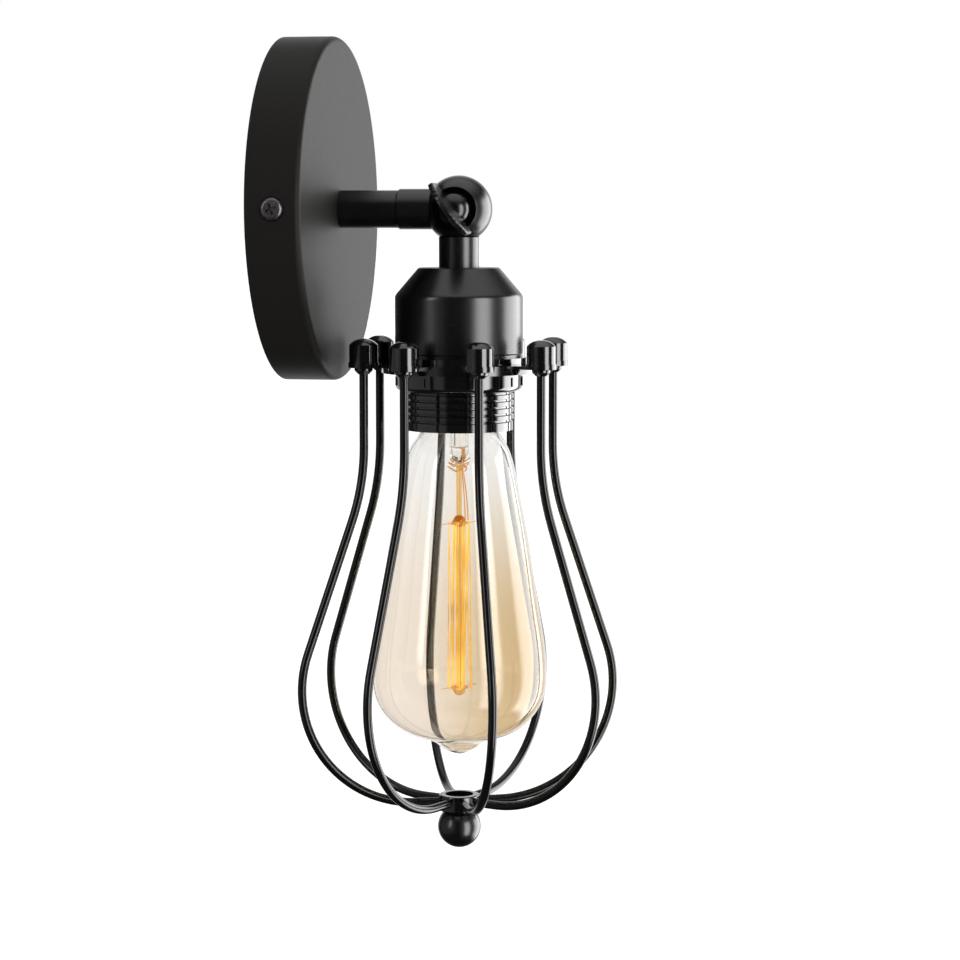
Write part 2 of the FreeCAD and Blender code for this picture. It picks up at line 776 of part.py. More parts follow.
def terminal_screw(side):
    top = core_top_drop - terminal_head_height
    shank_r = terminal_screw_dia / 2
    head_r = terminal_head_dia / 2
    profile = [(0, top), (head_r, top), (head_r, core_top_drop), (shank_r, core_top_drop)]
    profile += [(shank_r, core_top_drop + terminal_screw_depth), (0, core_top_drop + terminal_screw_depth)]
    return turned(terminal_axis(side), profile, [0, terminal_head_edge_r, 0, 0, 0, 0])


def screw_shell():
    outer_r = shell_bore / 2 + shell_wall
    end = skirt_bottom_drop - shell_set_back
    profile = [(shell_lip_bore / 2, core_bottom_drop), (outer_r, core_bottom_drop), (outer_r, end)]
    profile += [(shell_bore / 2, end), (shell_bore / 2, core_bottom_drop + shell_wall)]
    profile += [(shell_lip_bore / 2, core_bottom_drop + shell_wall)]
    return turned(lamp, profile, [0, shell_edge_r, 0, 0, 0, 0])


def centre_contact():
    """A springy tongue under the core that bears on the bulb."""
    tip = bulb_contact_drop - contact_gap
    root = core_bottom_drop
    half = contact_length / 2
    foot = contact_foot - half
    bend = half - contact_tip_length
    lean = contact_thick / 2
    side = [(-half, root), (foot, root), (bend, tip - contact_thick), (half, tip - contact_thick)]
    back = [(half, tip), (bend - lean, tip)]
    back += [(foot - lean, root + contact_thick), (-half, root + contact_thick)]
    corners = [ball_middle + Vector(-contact_width / 2, -across, -drop) for across, drop in side + back]
    outline = rounded_wire(corners, [0] * len(corners), True)
    return Part.Face(outline).extrude(Vector(contact_width, 0, 0))


# --- cage

def first_wire_turn():
    """Half a step, so that a gap and not a wire faces the wall."""
    return 180.0 / cage_wires


def cage_ring():
    rim_r = flange_dia / 2
    bore_r = thread_dia / 2 + 2 * slip
    ring = tube(lamp, rim_r, bore_r, flange_top_drop, flange_bottom_drop)
    rim_end = flange_top_drop + flange_rim_depth
    ring = ring.fuse(tube(lamp, rim_r, rim_r - flange_thick, flange_top_drop, rim_end))

    def ear(turn):
        spot = shifted(lamp, cage_neck_r, turn)
        disc = rod(spot, ear_dia / 2, flange_top_drop, flange_bottom_drop)
        low = Vector(rim_r - flange_thick, -ear_dia / 2, -flange_bottom_drop)
        bridge = slab(low, Vector(cage_neck_r, ear_dia / 2, -flange_top_drop))
        bridge.rotate(Vector(0, 0, 0), Vector(0, 0, 1), turn)
        return disc.fuse(bridge.translated(ball_middle))

    for piece in around(lamp, cage_wires, first_wire_turn(), ear):
        ring = ring.fuse(piece)

    def hole(turn):
        spot = shifted(lamp, cage_neck_r, turn)
        return rod(spot, cage_wire_dia / 2 + slip, flange_top_drop - 1, flange_bottom_drop + 1)

    holes = group(around(lamp, cage_wires, first_wire_turn(), hole))
    return ring.cut(holes).removeSplitter()


def cap_nut(turn):
    spot = shifted(lamp, cage_neck_r, turn)
    top = cap_nut_bottom_drop - cap_nut_height
    outer_r = cap_nut_dia / 2
    bore_r = cage_wire_dia / 2 + slip
    bore_top = cap_nut_bottom_drop - cap_nut_bore_depth
    begin = at(spot, top)
    crown = at(spot, top + cap_nut_dome * 0.28, outer_r * 0.62)
    edge = at(spot, top + cap_nut_dome, outer_r)
    corners = [edge, at(spot, cap_nut_bottom_drop, outer_r), at(spot, cap_nut_bottom_drop, bore_r)]
    corners += [at(spot, bore_top, bore_r), at(spot, bore_top), begin]
    edges = [Part.LineSegment(corners[step], corners[step + 1]).toShape() for step in range(5)]
    edges.append(Part.Arc(begin, crown, edge).toShape())
    return Part.Face(Part.Wire(edges)).revolve(spot[0], spot[1], 360)


def lock_washer(turn):
    spot = shifted(lamp, cage_neck_r, turn)
    bore_r = cage_wire_dia / 2 + slip
    return tube(spot, lock_washer_dia / 2, bore_r, cap_nut_bottom_drop, flange_top_drop)


def collar_bead(turn):
    spot = shifted(lamp, cage_neck_r, turn)
    bore_r = cage_wire_dia / 2 + slip
    bead_r = collar_bead_dia / 2
    end = flange_bottom_drop + collar_bead_height
    band_end = flange_bottom_drop + collar_bead_band
    profile = [(bore_r, flange_bottom_drop), (bead_r, flange_bottom_drop), (bead_r, band_end)]
    profile += [(bore_r + collar_bead_lip, end), (bore_r, end)]
    return turned(spot, profile, [0, 0.4, 0.9, 0, 0])


def cage_wire(turn):
    """A wire from inside its cap nut, down and out, round the belly and in to the hub."""
    slant = math.radians(cage_slant_deg)
    floor_run = cage_floor_drop - cage_slant_drop
    floor_corner_r = cage_neck_r + floor_run * math.tan(slant)
    top = cap_nut_bottom_drop - cap_nut_bore_depth + wire_end_gap
    corners = [at(lamp, top, cage_neck_r, turn), at(lamp, cage_slant_drop, cage_neck_r, turn)]
    corners.append(at(lamp, cage_floor_drop, floor_corner_r, turn))
    corners.append(at(lamp, cage_floor_drop, hub_dia / 2, turn))
    path = rounded_wire(corners, [0, cage_shoulder_bend_r, cage_belly_bend_r, 0], False)
    wire = round_bar(path, cage_wire_dia / 2)
    swept = math.pi * (cage_wire_dia / 2) ** 2 * path.Length
    print("cage wire", round(path.Length, 1), "mm, volume ratio", round(wire.Volume / swept, 4))
    return wire


def cage_hub():
    inner_r = hub_bore / 2
    hole_r = finial_screw_dia / 2 + slip
    floor = hub_bottom_drop - hub_floor
    profile = [(hub_dia / 2, hub_top_drop), (hub_dia / 2, hub_bottom_drop), (hole_r, hub_bottom_drop)]
    profile += [(hole_r, floor), (inner_r, floor), (inner_r, hub_top_drop)]
    return turned(lamp, profile, [hub_edge_r, hub_edge_r, 0, 0, 0, 0])


def finial_ball():
    finial_r = finial_dia / 2
    seat_r = hub_bore / 2
    centre = hub_bottom_drop + math.sqrt(finial_r ** 2 - seat_r ** 2)
    ball = Part.makeSphere(finial_r, at(lamp, centre))
    ball = ball.cut(rod(lamp, finial_r + 1, centre - finial_r - 1, hub_bottom_drop))
    hole_end = hub_bottom_drop + finial_screw_depth + hole_end_gap
    return ball.cut(rod(lamp, finial_screw_dia / 2 + slip, 0, hole_end))


def finial_screw():
    seat = hub_bottom_drop - hub_floor
    top = seat - finial_head_height
    head_r = finial_head_dia / 2
    shank_r = finial_screw_dia / 2
    end = hub_bottom_drop + finial_screw_depth
    profile = [(0, top), (head_r, top), (head_r, seat), (shank_r, seat), (shank_r, end), (0, end)]
    return turned(lamp, profile, [0, finial_head_edge_r, 0, 0, 0, 0])


def ring_washer():
    inner = thread_dia / 2 + 2 * slip
    return tube(lamp, ring_washer_dia / 2, inner, flange_bottom_drop, ring_nut_top_drop)


def shade_ring_nut():
    outer_r = ring_nut_dia / 2
    inner_r = thread_dia / 2 + running
    profile = [(inner_r, ring_nut_top_drop), (outer_r, ring_nut_top_drop), (outer_r, ring_nut_bottom_drop)]
    profile += [(inner_r, ring_nut_bottom_drop)]
    nut = turned(lamp, profile, [0, ring_nut_top_edge_r, ring_nut_foot_edge_r, 0])
    half = ring_nut_rib_width / 2
    begin = ring_nut_top_drop + flange_rim_depth - ring_washer_thick

    def rib(turn):
        low = Vector(outer_r - 1, -half, ring_nut_foot_edge_r - ring_nut_bottom_drop)
        bar = slab(low, Vector(outer_r + ring_nut_rib_height, half, -begin))
        bar.rotate(Vector(0, 0, 0), Vector(0, 0, 1), turn)
        return bar.translated(ball_middle)

    for bar in around(lamp, ring_nut_ribs, 0, rib):
        nut = nut.fuse(bar)
    return nut.removeSplitter()


# --- bulb

def glass_points(inset):
    """Points of the glass from its neck to the pip, moved square to the surface by an inset."""
    belly_r = bulb_belly_dia / 2
    pip_r = bulb_pip_dia / 2
    rise = bulb_belly_drop - bulb_shoulder_drop
    fall = bulb_pip_drop - bulb_belly_drop
    points = [(bulb_neck_dia / 2, bulb_neck_top_drop), (bulb_neck_dia / 2, base_bottom_drop)]
    for share, width in bulb_shoulder_curve:
        points.append((belly_r * width, bulb_shoulder_drop + rise * share))
    points.append((belly_r, bulb_belly_drop))
    for share, width in bulb_foot_curve:
        points.append((belly_r * width, bulb_belly_drop + fall * share))
    points.append((pip_r, bulb_pip_drop))
    moved = [(points[0][0] - inset, points[0][1])]
    for number in range(1, len(points)):
        before = points[number - 1]
        after = points[min(number + 1, len(points) - 1)]
        run = (after[0] - before[0], after[1] - before[1])
        length = math.hypot(*run)
        radius, drop = points[number]
        moved.append((radius - inset * run[1] / length, drop + inset * run[0] / length))
    return moved


def glass_edges(inset):
    """The glass outline on one side, from the neck to the tip on the axis."""
    points = glass_points(inset)
    neck = Part.LineSegment(at(lamp, points[0][1], points[0][0]), at(lamp, points[1][1], points[1][0]))
    curve = Part.BSplineCurve()
    curve.interpolate([at(lamp, drop, radius) for radius, drop in points[1:]])
    pip = Part.BSplineCurve()
    last_r, last_drop = points[-1]
    tip = bulb_tip_drop - inset
    depth = tip - last_drop
    pip.interpolate([at(lamp, last_drop, last_r), at(lamp, last_drop + depth * 0.38, last_r * 0.78),
                     at(lamp, last_drop + depth * 0.8, last_r * 0.40), at(lamp, tip)])
    return [neck.toShape(), curve.toShape(), pip.toShape()]


def bulb_glass():
    outside = glass_edges(0)
    inside = glass_edges(bulb_glass_wall)
    rim = Part.LineSegment(at(lamp, bulb_neck_top_drop, bulb_neck_dia / 2 - bulb_glass_wall),
                           at(lamp, bulb_neck_top_drop, bulb_neck_dia / 2)).toShape()
    tip = Part.LineSegment(at(lamp, bulb_tip_drop), at(lamp, bulb_tip_drop - bulb_glass_wall)).toShape()
    outline = Part.Wire(Part.__sortEdges__([rim] + outside + [tip] + inside))
    return Part.Face(outline).revolve(lamp[0], lamp[1], 360)


def bulb_base():
    """The screw base: a thin shell with rounded thread ridges."""
    crest_r = base_crest_dia / 2
    root_r = base_root_dia / 2
    inner_r = root_r - base_wall
    base_turns = int(base_height / base_pitch)
    middle = (base_top_drop + base_bottom_drop) / 2
    first = middle - base_pitch * base_turns / 2
    profile = [(inner_r, base_top_drop), (root_r, base_top_drop)]
    radii = [0, 0.4]
    for step in range(base_turns):
        top = first + base_pitch * step
        profile += [(root_r, top + base_pitch * 0.10), (crest_r, top + base_pitch * 0.38)]
        profile += [(crest_r, top + base_pitch * 0.62), (root_r, top + base_pitch * 0.90)]
        radii += [0.5, 0.4, 0.4, 0.5]
    profile += [(root_r, base_bottom_drop), (inner_r, base_bottom_drop)]
    radii += [0, 0]
    return turned(lamp, profile, radii)


def bulb_insulator():
    top = base_top_drop - insulator_height
    wide_r = base_root_dia / 2 - base_wall - insulator_gap
    end = base_top_drop + insulator_wedge
    profile = [(0, top), (insulator_top_dia / 2, top), (wide_r, base_top_drop)]
    profile += [(wide_r - insulator_wedge, end), (0, end)]
    return turned(lamp, profile)


def bulb_contact():
    begin = bulb_contact_drop
    end = base_top_drop - insulator_height
    profile = [(0, begin), (contact_dia / 2, begin), (contact_dia / 2, end), (0, end)]
    return turned(lamp, profile, [0, contact_edge_r, 0, 0])


def glass_stem():
    """The flared glass stem that is sealed to the neck and holds the rod."""
    flare_r = bulb_neck_dia / 2 - bulb_glass_wall
    stem_r = glass_stem_dia / 2
    begin = bulb_neck_top_drop + glass_stem_start
    flare_end = begin + glass_flare_length
    bore_r = stem_r - glass_stem_wall
    bore_end = flare_end + glass_stem_dia / 2
    profile = [(flare_r, begin), (flare_r, begin + glass_flare_edge), (stem_r, flare_end)]
    profile.append((stem_r, glass_stem_drop - glass_press_length))
    profile.append((rod_dia / 2 + glass_press_edge, glass_stem_drop))
    profile += [(0, glass_stem_drop), (0, bore_end + bore_r), (bore_r, bore_end), (bore_r, flare_end)]
    profile.append((flare_r - glass_stem_wall, begin))
    inner_bend_r = glass_flare_bend_r - glass_stem_wall
    return turned(lamp, profile, [0, 0, glass_flare_bend_r, 0, 0, 0, 0, 0, inner_bend_r, 0])


def support_rod():
    """The glass rod with the two beads that the hooks stand in."""
    rod_r = rod_dia / 2
    bar = rod(lamp, rod_r, glass_stem_drop, lower_bead_drop + rod_tail)
    for drop in (upper_bead_drop, lower_bead_drop):
        bar = bar.fuse(Part.makeSphere(bead_dia / 2, at(lamp, drop)))
    return bar


def filament():
    """One wire that runs up and down between the upper and the lower hooks."""
    corners = []
    for leg in range(filament_legs):
        turn = 360.0 / filament_legs * leg
        ends = [upper_bead_drop, lower_bead_drop]
        if leg % 2:
            ends.reverse()
        corners += [at(lamp, drop, filament_r, turn) for drop in ends]
    radii = [0] + [filament_turn_r] * (len(corners) - 2) + [0]
    path = rounded_wire(corners, radii, False)
    step_between = 2 * filament_r * math.sin(math.pi / filament_legs)
    print("filament", round(path.Length), "mm, least gap", round(step_between - filament_dia, 2), "mm")
    return round_bar(path, filament_dia / 2)


def hooks():
    """Thin radial wires from the beads to the filament's bends."""
    pieces = []
    for leg in range(filament_legs):
        turn = 360.0 / filament_legs * (leg + 0.5)
        drop = lower_bead_drop if leg % 2 == 0 else upper_bead_drop
        begin = at(lamp, drop, bead_dia / 2, turn)
        reach = filament_r * math.cos(math.pi / filament_legs) - filament_dia / 2
        direction = at((Vector(), lamp[1], lamp[2]), 0, 1, turn)
        pieces.append(Part.makeCylinder(hook_dia / 2, reach - bead_dia / 2, begin, direction))
    return group(pieces)


def lead_in_wire(side):
    """A wire from the stem out to the first or the last leg of the filament."""
    turn = 0 if side > 0 else 360.0 / filament_legs * (filament_legs - 1)
    start = at(lamp, glass_stem_drop - lead_in_overlap, glass_stem_dia / 2, turn)
    end_out = filament_r + filament_dia / 2 + lead_in_dia / 2
    corners = [start, at(lamp, glass_stem_drop + lead_in_reach, end_out, turn)]
    corners.append(at(lamp, upper_bead_drop + lead_in_overlap, end_out, turn))
    return round_bar(rounded_wire(corners, [0, lead_in_bend_r, 0], False), lead_in_dia / 2)


# --- wiring

def wall_lead(side):
    """From the terminal block through the nipple into the arm's half of the ball."""
    x = block_width / 4 * side
    y = -strap_thick - block_depth / 2
    inner = Vector(-lead_side, 0, lead_spread * side)
    end_y = cavity_dia / 2 - arm_reach
    turn_y = lead_turn_room - nipple_start_reach
    corners = [Vector(x, y, block_bottom), Vector(x, y, inner.z), Vector(inner.x, turn_y, inner.z)]
    corners.append(Vector(inner.x, end_y, inner.z))
    return round_bar(rounded_wire(corners, [0, lead_bend_r, lead_bend_r, 0], False), lead_dia / 2)


def lamp_lead(side):
    """From the lamp's half of the ball through the stem to a terminal on the core."""
    start = Vector(lead_side, -arm_reach + lead_spread * side, -cavity_dia / 2)
    foot_y = terminal_radius - terminal_head_dia / 2 - lead_dia / 2 - terminal_lead_gap
    below = cap_top_drop - stem_nipple_in_stem + stem_nipple_length
    kink = below + (core_top_drop - below) * lead_kink_share
    foot = Vector(lead_side, -arm_reach + foot_y * side, -core_top_drop)
    corners = [start, Vector(start.x, start.y, -below), Vector(foot.x, foot.y, -kink), foot]
    return round_bar(rounded_wire(corners, [0, lead_top_bend_r, lead_foot_bend_r, 0], False), lead_dia / 2)


nodes = {
    "canopy_cup": canopy_cup(),
    "mounting_strap": mounting_strap(),
    "side_screws": group([side_screw(-1), side_screw(1)]),
    "arm_nipple": nipple(),
    "arm_nut": canopy_nut(),
    "arm_washer": canopy_washer(),
    "arm_tube": arm_tube(),
    "earth_screw": earth_screw(),
    "terminal_block": terminal_block(),
    "terminal_block_screws": block_screws(),
    "wall_lead_live": wall_lead(1),
    "wall_lead_neutral": wall_lead(-1),
    "knuckle_arm_half": knuckle_arm_half(),
    "knuckle_lamp_half": knuckle_lamp_half(),
    "friction_washer": friction_washer(),
    "knuckle_nut": knuckle_nut(),
    "thumb_washer": thumb_washer(),
    "thumb_screw": thumb_screw(),
    "stem_nipple": stem_nipple(),
    "stem_nut": stem_nut(),
    "holder_cap": holder_cap(),
    "holder_skirt": holder_skirt(),
    "holder_core": holder_core(),
    "holder_terminal_screws": group([terminal_screw(-1), terminal_screw(1)]),
    "screw_shell": screw_shell(),
    "centre_contact": centre_contact(),
    "lamp_lead_live": lamp_lead(1),
    "lamp_lead_neutral": lamp_lead(-1),
    "cage_ring": cage_ring(),
    "cap_nuts": group(around(lamp, cage_wires, first_wire_turn(), cap_nut)),
    "lock_washers": group(around(lamp, cage_wires, first_wire_turn(), lock_washer)),
    "collar_beads": group(around(lamp, cage_wires, first_wire_turn(), collar_bead)),
    "cage_hub": cage_hub(),
    "finial_ball": finial_ball(),
    "finial_screw": finial_screw(),
    "ring_washer": ring_washer(),
    "shade_ring_nut": shade_ring_nut(),
    "bulb_glass": bulb_glass(),
    "bulb_base": bulb_base(),
    "bulb_insulator": bulb_insulator(),
    "bulb_contact": bulb_contact(),
    "glass_stem": glass_stem(),
    "support_rod": support_rod(),
    "filament": filament(),
    "filament_hooks": hooks(),
    "lead_in_wires": group([lead_in_wire(1), lead_in_wire(-1)]),
}
for number, wire in enumerate(around(lamp, cage_wires, first_wire_turn(), cage_wire)):
    nodes["cage_wire_" + str(number + 1)] = wire

for name, shape in nodes.items():
    if not shape.isValid():
        print("not valid:", name)
    if shape.Volume <= 0:
        print("no volume:", name)
    shape.exportStep("parts/" + name + ".step")
print(len(nodes), "nodes")
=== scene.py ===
# %% [markdown]
# # A cage wall light
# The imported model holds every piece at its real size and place. This script only dresses it:
# it loads those pieces, gives each a finish, and builds finer meshes where the eye gets close.

# %% Load the frame
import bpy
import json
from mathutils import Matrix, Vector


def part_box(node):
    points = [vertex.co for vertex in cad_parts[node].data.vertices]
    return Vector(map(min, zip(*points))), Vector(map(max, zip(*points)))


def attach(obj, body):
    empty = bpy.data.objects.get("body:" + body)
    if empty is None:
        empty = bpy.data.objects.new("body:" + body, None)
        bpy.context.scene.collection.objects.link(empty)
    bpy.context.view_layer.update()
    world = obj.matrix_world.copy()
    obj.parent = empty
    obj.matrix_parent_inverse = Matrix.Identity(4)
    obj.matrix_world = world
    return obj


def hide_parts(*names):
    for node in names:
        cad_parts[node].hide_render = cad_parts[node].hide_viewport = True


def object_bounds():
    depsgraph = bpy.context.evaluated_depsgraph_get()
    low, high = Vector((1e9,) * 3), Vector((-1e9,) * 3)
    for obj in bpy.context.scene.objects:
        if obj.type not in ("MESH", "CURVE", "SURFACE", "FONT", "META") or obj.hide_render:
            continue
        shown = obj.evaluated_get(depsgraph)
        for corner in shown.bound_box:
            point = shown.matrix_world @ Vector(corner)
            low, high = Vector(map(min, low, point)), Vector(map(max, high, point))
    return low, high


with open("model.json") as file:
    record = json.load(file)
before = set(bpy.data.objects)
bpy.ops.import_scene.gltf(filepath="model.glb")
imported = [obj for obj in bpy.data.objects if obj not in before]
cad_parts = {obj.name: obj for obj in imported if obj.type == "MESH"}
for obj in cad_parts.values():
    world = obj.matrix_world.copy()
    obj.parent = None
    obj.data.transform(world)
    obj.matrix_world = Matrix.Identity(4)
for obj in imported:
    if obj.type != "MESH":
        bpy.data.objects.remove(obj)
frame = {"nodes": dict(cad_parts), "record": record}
cad_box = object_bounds()
nodes = frame["nodes"]

# %% [markdown]
# bmesh builds the turned shells, mathutils gives vectors, and json reads the model's record.

# %% Modules
import json
import math
import bpy
import bmesh
from mathutils import Matrix, Vector
print("Blender", bpy.app.version_string)

# %% [markdown]
# ## Where things are
# Every size here is read from the frame, so the looks follow the construction if it changes.
# The ball of the knuckle is the natural centre: the lamp hangs below it and the arm comes to it.

# %% The knuckle's middle and the lamp's axis
arm_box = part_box("knuckle_arm_half")
ball_r = arm_box[1].z
ball = Vector((0, arm_box[0].y + ball_r, 0))
down = Vector((0, 0, -1))
print("ball middle", [round(v * 1000, 2) for v in ball], "mm, radius", round(ball_r * 1000, 2))

# %% [markdown]
# ## The camera
# The photograph looks at the lamp from its thumb-screw side, level with the knuckle, and from
# about a metre away. The lens follows from how large the lamp appears at that distance.

# %% Camera at the photograph's angle
photo_size = 960
photo_ball = (459.1, 210.4)
pixels_per_metre = 2750.0
camera_distance = 1.0
camera_turn = math.radians(11)
to_camera = Vector((-math.cos(camera_turn), -math.sin(camera_turn), 0))
image_right = Vector((math.sin(camera_turn), -math.cos(camera_turn), 0))
centre_right = (photo_size / 2 - photo_ball[0]) / pixels_per_metre
centre_down = (photo_size / 2 - photo_ball[1]) / pixels_per_metre
aim = ball + image_right * centre_right + down * centre_down
camera = bpy.data.objects.new("camera", bpy.data.cameras.new("camera"))
bpy.context.scene.collection.objects.link(camera)
camera.location = ball + to_camera * camera_distance
camera.rotation_mode = "QUATERNION"
camera.rotation_quaternion = (aim - camera.location).to_track_quat("-Z", "Y")
camera.data.sensor_width = 36.0
aim_distance = (aim - camera.location).length
camera.data.lens = camera.data.sensor_width * pixels_per_metre * aim_distance / photo_size
camera.data.dof.use_dof = False
bpy.context.scene.camera = camera
print("lens", round(camera.data.lens, 1), "mm")

# %% [markdown]
# ## Studio
# A black object on white is hard to light: what it mirrors is what shapes it. A photographer
# stands black cards on the camera's side and two tall soft boxes to the right, and leaves the
# white surround behind. Here one world does that job. The eye sees it white, matt surfaces get a
# plain even level, and gloss gets the map of cards and boxes. Real lamps that bright would also
# burn pale patches into the matt paint, and a map that only gloss sees doesn't.

# %% The world's tree
scene = bpy.context.scene
scene.view_settings.view_transform = "Standard"
world = bpy.data.worlds.new("studio")
scene.world = world
world.use_nodes = True
world.cycles.sampling_method = "NONE"
tree = world.node_tree
background = tree.nodes["Background"]
background.inputs["Color"].default_value = (1, 1, 1, 1)
print("world", world.name)

# %% [markdown]
# The map is a sum of simple shapes on the sphere round the object. Three small helpers keep the
# nodes readable: one does arithmetic, one measures a direction, and one makes a soft step.


# %% Helpers for the map
def maths(operation, *values):
    """A Math node whose inputs are numbers or other nodes' outputs."""
    node = tree.nodes.new("ShaderNodeMath")
    node.operation = operation
    for socket, value in zip(node.inputs, values):
        if isinstance(value, (int, float)):
            socket.default_value = value
        else:
            tree.links.new(value, socket)
    return node.outputs["Value"]


def along(axis):
    """How far the looked-at direction points along an axis, -1 to 1."""
    node = tree.nodes.new("ShaderNodeVectorMath")
    node.operation = "DOT_PRODUCT"
    node.inputs[1].default_value = axis
    tree.links.new(direction.outputs["Generated"], node.inputs[0])
    return node.outputs["Value"]


def rise(value, low, high):
    """0 below low and 1 above high, with a smooth step between."""
    node = tree.nodes.new("ShaderNodeMapRange")
    node.interpolation_type = "SMOOTHSTEP"
    node.inputs["From Min"].default_value = low
    node.inputs["From Max"].default_value = high
    tree.links.new(value, node.inputs["Value"])
    return node.outputs["Result"]


# %% Directions in the map
direction = tree.nodes.new("ShaderNodeTexCoord")
toward = along(to_camera)
rightward = along(image_right)
height = along((0, 0, 1))
turn = maths("DEGREES", maths("ARCTAN2", rightward, toward))
print("turn 0 is the camera, 90 the picture's right, -90 its left")

# %% [markdown]
# The turns of the boxes were worked out from the photograph. A highlight on a round black piece
# sits halfway between the camera and the lamp, so its place across the cap gives the lamp's turn.


# %% Soft box helper
end_soft = 0.08


def box_of_light(turns, heights, strength, soft=5.0):
    """A soft box between two turns and two heights, as gloss sees it."""
    open_side = maths("MULTIPLY", rise(turn, turns[0] - soft, turns[0] + soft),
                      maths("SUBTRACT", 1.0, rise(turn, turns[1] - soft, turns[1] + soft)))
    open_end = maths("MULTIPLY", rise(height, heights[0] - end_soft, heights[0] + end_soft),
                     maths("SUBTRACT", 1.0, rise(height, heights[1] - end_soft, heights[1] + end_soft)))
    return maths("MULTIPLY", maths("MULTIPLY", open_side, open_end), strength)


# %% [markdown]
# The tall box makes the broad band right of the middle, and the side box the bright right edge.
# A narrow strip high on the left gives the cap its thin line. The cards are nearly black, and a
# faint left wall keeps the left edges from going quite dark.

# %% Soft boxes, cards and the white behind
plain_level = 0.62
card_level = 0.03
tall_box = box_of_light((30, 58), (-0.62, 0.42), 5.8)
side_box = box_of_light((90, 142), (-0.62, 0.36), 5.6)
left_strip = box_of_light((-57, -48), (0.03, 0.55), 5.0)
left_wall = box_of_light((-112, -28), (-0.50, 0.50), 0.20)
overhead = maths("MULTIPLY", rise(height, 0.55, 0.95), 0.9)
white_behind = rise(toward, -0.70, -0.92)
mirrored = maths("ADD", card_level, white_behind)
boxes = [tall_box, side_box, left_strip, left_wall, overhead]
for light in boxes:
    mirrored = maths("ADD", mirrored, light)
print(len(boxes), "boxes")


# %% [markdown]
# A Light Path node tells which kind of ray is looking. The eye gets white, gloss gets the map,
# and matt surfaces get the plain level. Through glass, the half behind the lamp is white too.


# %% Which ray sees which level
def choose(factor, otherwise, chosen):
    """A Mix node: the chosen level where the factor is 1."""
    node = tree.nodes.new("ShaderNodeMix")
    tree.links.new(factor, node.inputs["Factor"])
    for socket, value in ((node.inputs["A"], otherwise), (node.inputs["B"], chosen)):
        if isinstance(value, (int, float)):
            socket.default_value = value
        else:
            tree.links.new(value, socket)
    return node.outputs["Result"]


ray = tree.nodes.new("ShaderNodeLightPath")
through_glass = choose(rise(toward, 0.10, -0.10), mirrored, 1.0)
level = choose(ray.outputs["Is Glossy Ray"], plain_level, mirrored)
level = choose(ray.outputs["Is Transmission Ray"], level, through_glass)
level = choose(ray.outputs["Is Camera Ray"], level, 1.0)
tree.links.new(level, background.inputs["Strength"])
print("world", len(tree.nodes), "nodes")

# %% [markdown]
# Two real lamps give matt surfaces a bright side. Gloss doesn't see them, because the map above
# already shows it the boxes.


# %% Lamps
lamp_size = 0.7
lit_middle = ball + down * 0.1


def soft_lamp(name, turn_deg, height_up, power):
    """A square soft lamp a metre from the object, at a turn from the camera's side."""
    light = bpy.data.lights.new(name, "AREA")
    light.size = lamp_size
    light.energy = power
    lamp = bpy.data.objects.new(name, light)
    scene.collection.objects.link(lamp)
    side = Matrix.Rotation(math.radians(turn_deg), 3, "Z") @ to_camera
    lamp.location = lit_middle + side + Vector((0, 0, height_up))
    lamp.rotation_mode = "QUATERNION"
    lamp.rotation_quaternion = (lit_middle - lamp.location).to_track_quat("-Z", "Y")
    lamp.visible_camera = False
    lamp.visible_glossy = False
    lamp.visible_transmission = False
    return lamp


soft_lamp("key_right", 75, 0.7, 5.0)
soft_lamp("fill_left", -60, 0.4, 2.0)

# %% [markdown]
# The floor is white paper, and the lamp's soft shadow lies on it. Its glow keeps it as pale as the
# surround for the eye and through glass. Gloss looks past it into the world's map, which goes on
# below the horizon: the same white behind the lamp, and card on the camera's side.

# %% Floor
floor_size = 30
floor_drop = 0.12
floor_mesh = bpy.data.meshes.new("floor")
floor_bm = bmesh.new()
bmesh.ops.create_grid(floor_bm, x_segments=1, y_segments=1, size=floor_size)
floor_bm.to_mesh(floor_mesh)
floor_bm.free()
floor = bpy.data.objects.new("floor", floor_mesh)
scene.collection.objects.link(floor)
floor.location.z = cad_box[0].z - floor_drop
floor.visible_glossy = False
print("floor", round(floor_drop * 1000), "mm below the foot ball")

# %% [markdown]
# ## Finishes
# Each finish is one Principled shader. Noise in the object's own coordinates varies the
# roughness a little and feeds a small bump, because no painted or plated surface is quite even.
# A picture of the paint would do the same, but noise needs no file and no unwrapping.


